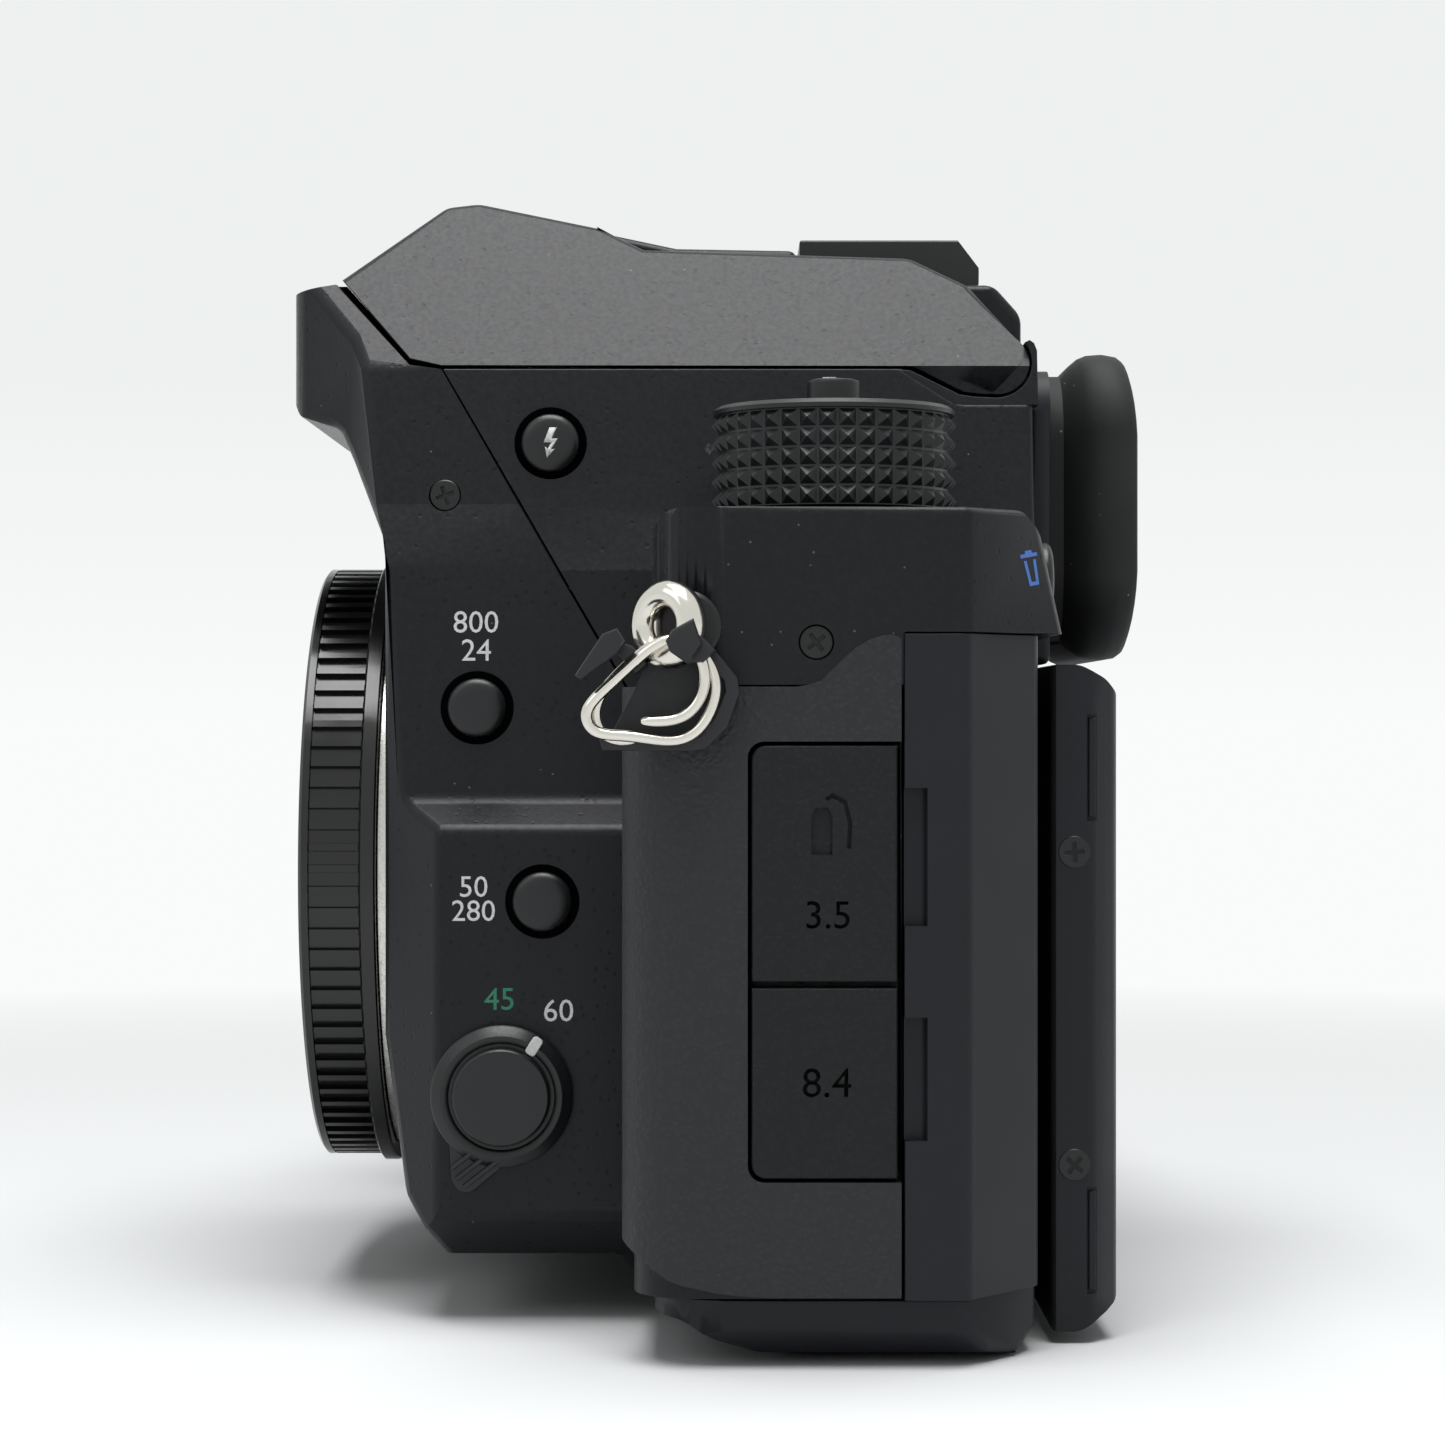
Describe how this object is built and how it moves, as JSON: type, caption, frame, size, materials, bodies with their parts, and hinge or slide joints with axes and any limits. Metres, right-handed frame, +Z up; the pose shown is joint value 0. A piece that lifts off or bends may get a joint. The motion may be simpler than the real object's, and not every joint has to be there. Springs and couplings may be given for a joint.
{
  "type": "digital single-lens reflex camera",
  "caption": "Single-lens reflex camera body with prism hump, pop-up flash, right-hand grip, tilting rear monitor, dials, buttons, strap rings and a ribbed cap on its lens mount.",
  "frame": {"origin": "centre of the tripod socket's mouth, in the plane of the base", "axes": "+Z up; the lens mount faces -Y and the monitor +Y; +X is the holder's left hand side; X = 0 lies on the lens axis"},
  "size_m": [0.1458, 0.0778, 0.1011],
  "materials": {
    "casing_paint": "satin, finely speckled black paint",
    "casing_matte": "matte black moulded plastic",
    "grain_rubber": "leather-grained black elastomer",
    "cap_gloss": "glossy black moulded plastic",
    "cup_rubber": "soft matte black rubber",
    "key_plastic": "satin black plastic keys",
    "bare_steel": "bright nickelled steel",
    "black_steel": "black coated steel",
    "mount_metal": "satin stainless steel",
    "brass_insert": "machined brass",
    "clear_glass": "polished clear glass",
    "dark_glass": "dark display glass",
    "lamp_window": "ribbed clear plastic",
    "mirror_glass": "front-silvered mirror",
    "sensor_glass": "coated filter glass",
    "board": "green circuit board",
    "inner_plastic": "flocked matte black plastic",
    "cell": "dark grey battery case",
    "guard_plastic": "soft black plastic"
  },
  "bodies": {
    "casing": {"front_cover": "casing_paint", "top_cover": "casing_paint", "rear_cover": "casing_matte", "bottom_cover": "casing_matte", "side_skin": "grain_rubber", "hand_grip": "grain_rubber", "lens_mount_ring": "mount_metal", "mirror_box": "inner_plastic", "focusing_screen": "clear_glass", "pentaprism": "clear_glass", "eyepiece_lens": "clear_glass", "shutter_unit": "black_steel", "image_sensor": "sensor_glass", "main_board": "board", "hot_shoe": "black_steel", "dial_axles": "bare_steel", "port_sockets": "inner_plastic", "strap_lugs": "bare_steel", "flash_hinge_pins": "black_steel", "tripod_socket": "brass_insert", "casing_screws": "black_steel", "battery": "cell"},
    "flash": {"flash_cover": "casing_paint", "flash_window": "lamp_window"},
    "monitor": {"monitor_housing": "casing_matte", "monitor_glass": "dark_glass"},
    "left_ring": {"left_strap_ring": "bare_steel", "left_strap_guard": "guard_plastic"},
    "right_ring": {"right_strap_ring": "bare_steel", "right_strap_guard": "guard_plastic"},
    "body_cap": {"body_cap": "cap_gloss"},
    "shoe_cover": {"shoe_cover": "key_plastic"},
    "eyecup": {"eyecup": "cup_rubber"},
    "mode_dial": {"mode_dial": "key_plastic"},
    "mode_dial_lock": {"mode_dial_lock": "key_plastic"},
    "setting_dial": {"setting_dial": "key_plastic"},
    "function_dial": {"function_dial": "key_plastic"},
    "front_dial": {"front_dial": "key_plastic"},
    "rear_dial": {"rear_dial": "key_plastic"},
    "shutter_button": {"shutter_button": "key_plastic"},
    "power_switch": {"power_switch": "key_plastic"},
    "flash_button": {"flash_button": "key_plastic"},
    "raw_button": {"raw_button": "key_plastic"},
    "af_mode_button": {"af_mode_button": "key_plastic"},
    "focus_lever": {"focus_lever": "key_plastic"},
    "lens_release_button": {"lens_release_button": "key_plastic"},
    "lens_lock_pin": {"lens_lock_pin": "bare_steel"},
    "usb_cover": {"usb_cover": "grain_rubber"},
    "dc_cover": {"dc_cover": "grain_rubber"},
    "card_door": {"card_door": "casing_matte"},
    "battery_door": {"battery_door": "casing_matte"},
    "monitor_arm": {"monitor_arm": "black_steel"},
    "live_view_button": {"live_view_button": "key_plastic"},
    "lock_button": {"lock_button": "key_plastic"},
    "playback_button": {"playback_button": "key_plastic"},
    "menu_button": {"menu_button": "key_plastic"},
    "four_way_pad": {"four_way_pad": "key_plastic"},
    "delete_button": {"delete_button": "key_plastic"},
    "diopter_knob": {"diopter_knob": "key_plastic"},
    "main_mirror": {"main_mirror": "mirror_glass"}
  },
  "joints": [
    {"name": "flash_hinge", "type": "hinge", "parent": "casing", "child": "flash", "pos_m": [0, 0.0247, 0.085], "axis": [-1, 0, 0], "range_deg": [0, 42]},
    {"name": "cap_pull", "type": "slide", "parent": "casing", "child": "body_cap", "axis": [0, -1, 0], "range_m": [0, 0.015]},
    {"name": "shoe_cover_slide", "type": "slide", "parent": "casing", "child": "shoe_cover", "axis": [0, 1, 0], "range_m": [0, 0.02]},
    {"name": "eyecup_slide", "type": "slide", "parent": "casing", "child": "eyecup", "axis": [0, 0, 1], "range_m": [0, 0.007]},
    {"name": "mode_dial_turn", "type": "hinge", "parent": "casing", "child": "mode_dial", "pos_m": [0.043, 0.0095, 0.0704], "axis": [0, 0, 1], "continuous": true},
    {"name": "mode_lock_press", "type": "slide", "parent": "mode_dial", "child": "mode_dial_lock", "axis": [0, 0, -1], "range_m": [0, 0.0012], "stiffness_N_per_m": 700, "springref_m": -0.0006},
    {"name": "setting_dial_turn", "type": "hinge", "parent": "casing", "child": "setting_dial", "pos_m": [-0.06, 0.004, 0.0693], "axis": [0, 0, 1], "continuous": true},
    {"name": "function_dial_turn", "type": "hinge", "parent": "casing", "child": "function_dial", "pos_m": [-0.0415, 0.005, 0.0693], "axis": [0, 0, 1], "continuous": true},
    {"name": "front_dial_turn", "type": "hinge", "parent": "casing", "child": "front_dial", "pos_m": [-0.0555, -0.0295, 0.0573], "axis": [1, 0, 0], "continuous": true},
    {"name": "rear_dial_turn", "type": "hinge", "parent": "casing", "child": "rear_dial", "pos_m": [-0.055, 0.0212, 0.0634], "axis": [0, 0, 1], "continuous": true},
    {"name": "shutter_press", "type": "slide", "parent": "casing", "child": "shutter_button", "axis": [0, 0, -1], "range_m": [0, 0.0006], "stiffness_N_per_m": 700, "springref_m": -0.0006},
    {"name": "power_turn", "type": "hinge", "parent": "casing", "child": "power_switch", "pos_m": [-0.057, -0.0205, 0.0669], "axis": [0, 0, 1], "range_deg": [-20, 20]},
    {"name": "flash_key_press", "type": "slide", "parent": "casing", "child": "flash_button", "axis": [-1, 0, 0], "range_m": [0, 0.0006], "stiffness_N_per_m": 700, "springref_m": -0.0006},
    {"name": "raw_key_press", "type": "slide", "parent": "casing", "child": "raw_button", "axis": [-1, 0, 0], "range_m": [0, 0.0006], "stiffness_N_per_m": 700, "springref_m": -0.0006},
    {"name": "af_mode_key_press", "type": "slide", "parent": "casing", "child": "af_mode_button", "axis": [-1, 0, 0], "range_m": [0, 0.0006], "stiffness_N_per_m": 700, "springref_m": -0.0006},
    {"name": "focus_lever_turn", "type": "hinge", "parent": "casing", "child": "focus_lever", "pos_m": [0.037, -0.0192, 0.02], "axis": [1, 0, 0], "range_deg": [0, 34]},
    {"name": "lens_release_press", "type": "slide", "parent": "casing", "child": "lens_release_button", "axis": [0, 1, 0], "range_m": [0, 0.002], "stiffness_N_per_m": 500, "springref_m": -0.001},
    {"name": "lens_pin_draw", "type": "slide", "parent": "casing", "child": "lens_lock_pin", "axis": [0, 1, 0], "range_m": [0, 0.001]},
    {"name": "left_ring_swing", "type": "hinge", "parent": "casing", "child": "left_ring", "pos_m": [0.0611, -0.0042, 0.0602], "axis": [0, -1, 0], "range_deg": [0, 90]},
    {"name": "right_ring_swing", "type": "hinge", "parent": "casing", "child": "right_ring", "pos_m": [-0.0753, -0.0042, 0.0602], "axis": [0, 1, 0], "range_deg": [0, 90]},
    {"name": "usb_cover_swing", "type": "hinge", "parent": "casing", "child": "usb_cover", "pos_m": [0.0583, 0.0022, 0.041], "axis": [0, 0, -1], "range_deg": [0, 100]},
    {"name": "dc_cover_swing", "type": "hinge", "parent": "casing", "child": "dc_cover", "pos_m": [0.0583, 0.0022, 0.023], "axis": [0, 0, -1], "range_deg": [0, 100]},
    {"name": "card_door_swing", "type": "hinge", "parent": "casing", "child": "card_door", "pos_m": [-0.0725, -0.003, 0.03], "axis": [0, 0, 1], "range_deg": [0, 90]},
    {"name": "battery_door_swing", "type": "hinge", "parent": "casing", "child": "battery_door", "pos_m": [-0.0486, -0.005, 0.00025], "axis": [0, -1, 0], "range_deg": [0, 100]},
    {"name": "monitor_arm_swing", "type": "hinge", "parent": "casing", "child": "monitor_arm", "pos_m": [0.0075, 0.02695, 0.0026], "axis": [-1, 0, 0], "range_deg": [0, 40]},
    {"name": "monitor_tilt", "type": "hinge", "parent": "monitor_arm", "child": "monitor", "pos_m": [0.0075, 0.02695, 0.05], "axis": [1, 0, 0], "range_deg": [0, 100]},
    {"name": "diopter_turn", "type": "hinge", "parent": "casing", "child": "diopter_knob", "pos_m": [-0.0256, 0.0282, 0.078], "axis": [0, 1, 0], "range_deg": [-120, 120]},
    {"name": "delete_press", "type": "slide", "parent": "casing", "child": "delete_button", "axis": [0, -1, 0], "range_m": [0, 0.0008], "stiffness_N_per_m": 700, "springref_m": -0.0006},
    {"name": "live_view_press", "type": "slide", "parent": "casing", "child": "live_view_button", "axis": [0, -1, 0], "range_m": [0, 0.0006], "stiffness_N_per_m": 700, "springref_m": -0.0006},
    {"name": "lock_press", "type": "slide", "parent": "casing", "child": "lock_button", "axis": [0, -1, 0], "range_m": [0, 0.0006], "stiffness_N_per_m": 700, "springref_m": -0.0006},
    {"name": "playback_press", "type": "slide", "parent": "casing", "child": "playback_button", "axis": [0, -1, 0], "range_m": [0, 0.0006], "stiffness_N_per_m": 700, "springref_m": -0.0006},
    {"name": "menu_press", "type": "slide", "parent": "casing", "child": "menu_button", "axis": [0, -1, 0], "range_m": [0, 0.0006], "stiffness_N_per_m": 700, "springref_m": -0.0006},
    {"name": "pad_press", "type": "slide", "parent": "casing", "child": "four_way_pad", "axis": [0, -1, 0], "range_m": [0, 0.0006], "stiffness_N_per_m": 900, "springref_m": -0.0008},
    {"name": "mirror_lift", "type": "hinge", "parent": "casing", "child": "main_mirror", "pos_m": [0, 0.0045, 0.051], "axis": [-1, 0, 0], "range_deg": [0, 44], "stiffness_Nm_per_rad": 0.002, "springref_deg": -17.19}
  ],
  "couplings": [
    {"joint": "monitor_arm_swing", "follows": "monitor_tilt", "ratio": 0.4},
    {"joint": "lens_pin_draw", "follows": "lens_release_press", "ratio": 0.5}
  ]
}
